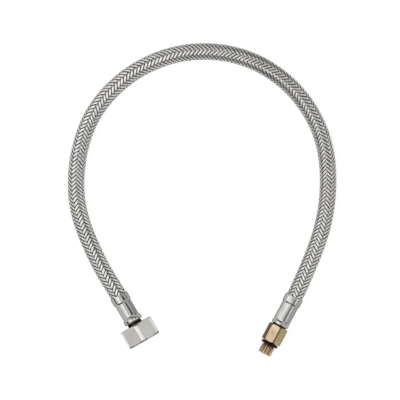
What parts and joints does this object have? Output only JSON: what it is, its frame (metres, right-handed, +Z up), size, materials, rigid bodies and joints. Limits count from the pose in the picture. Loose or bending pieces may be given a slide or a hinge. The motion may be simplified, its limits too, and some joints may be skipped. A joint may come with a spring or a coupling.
{
  "type": "faucet supply hose",
  "caption": "Flexible tap hose: steel wire braid over a rubber liner, crimped ferrules, a loose half-inch nut at one end and a brass M10 x 1 spigot with an O-ring at the other.",
  "frame": {"origin": "on the floor, under the middle of the box that holds the two end fittings, without the hose", "axes": "+Z up from the floor; -Y is the axis of the loose nut, pointing out of its mouth; the hose loops away towards +Y"},
  "size_m": [0.2039, 0.2324, 0.0265],
  "materials": {
    "braid_steel": "bright woven wire",
    "ferrule_steel": "pressed, bright satin",
    "satin_nickel": "satin nickel plate on brass",
    "brass": "turned, bare",
    "liner_rubber": "matte",
    "seal_rubber": "smooth black"
  },
  "bodies": {
    "hose": {"hose_liner": "liner_rubber", "wire_braid": "braid_steel", "nut_ferrule": "ferrule_steel", "spigot_ferrule": "ferrule_steel", "nut_tail": "brass", "spigot_fitting": "brass", "spigot_o_ring": "seal_rubber"},
    "nut": {"swivel_nut": "satin_nickel", "sealing_washer": "seal_rubber"}
  },
  "joints": [
    {"name": "nut_swivel", "type": "hinge", "parent": "hose", "child": "nut", "pos_m": [-0.0502, 0.01575, 0.01325], "axis": [0, -1, 0], "continuous": true}
  ]
}
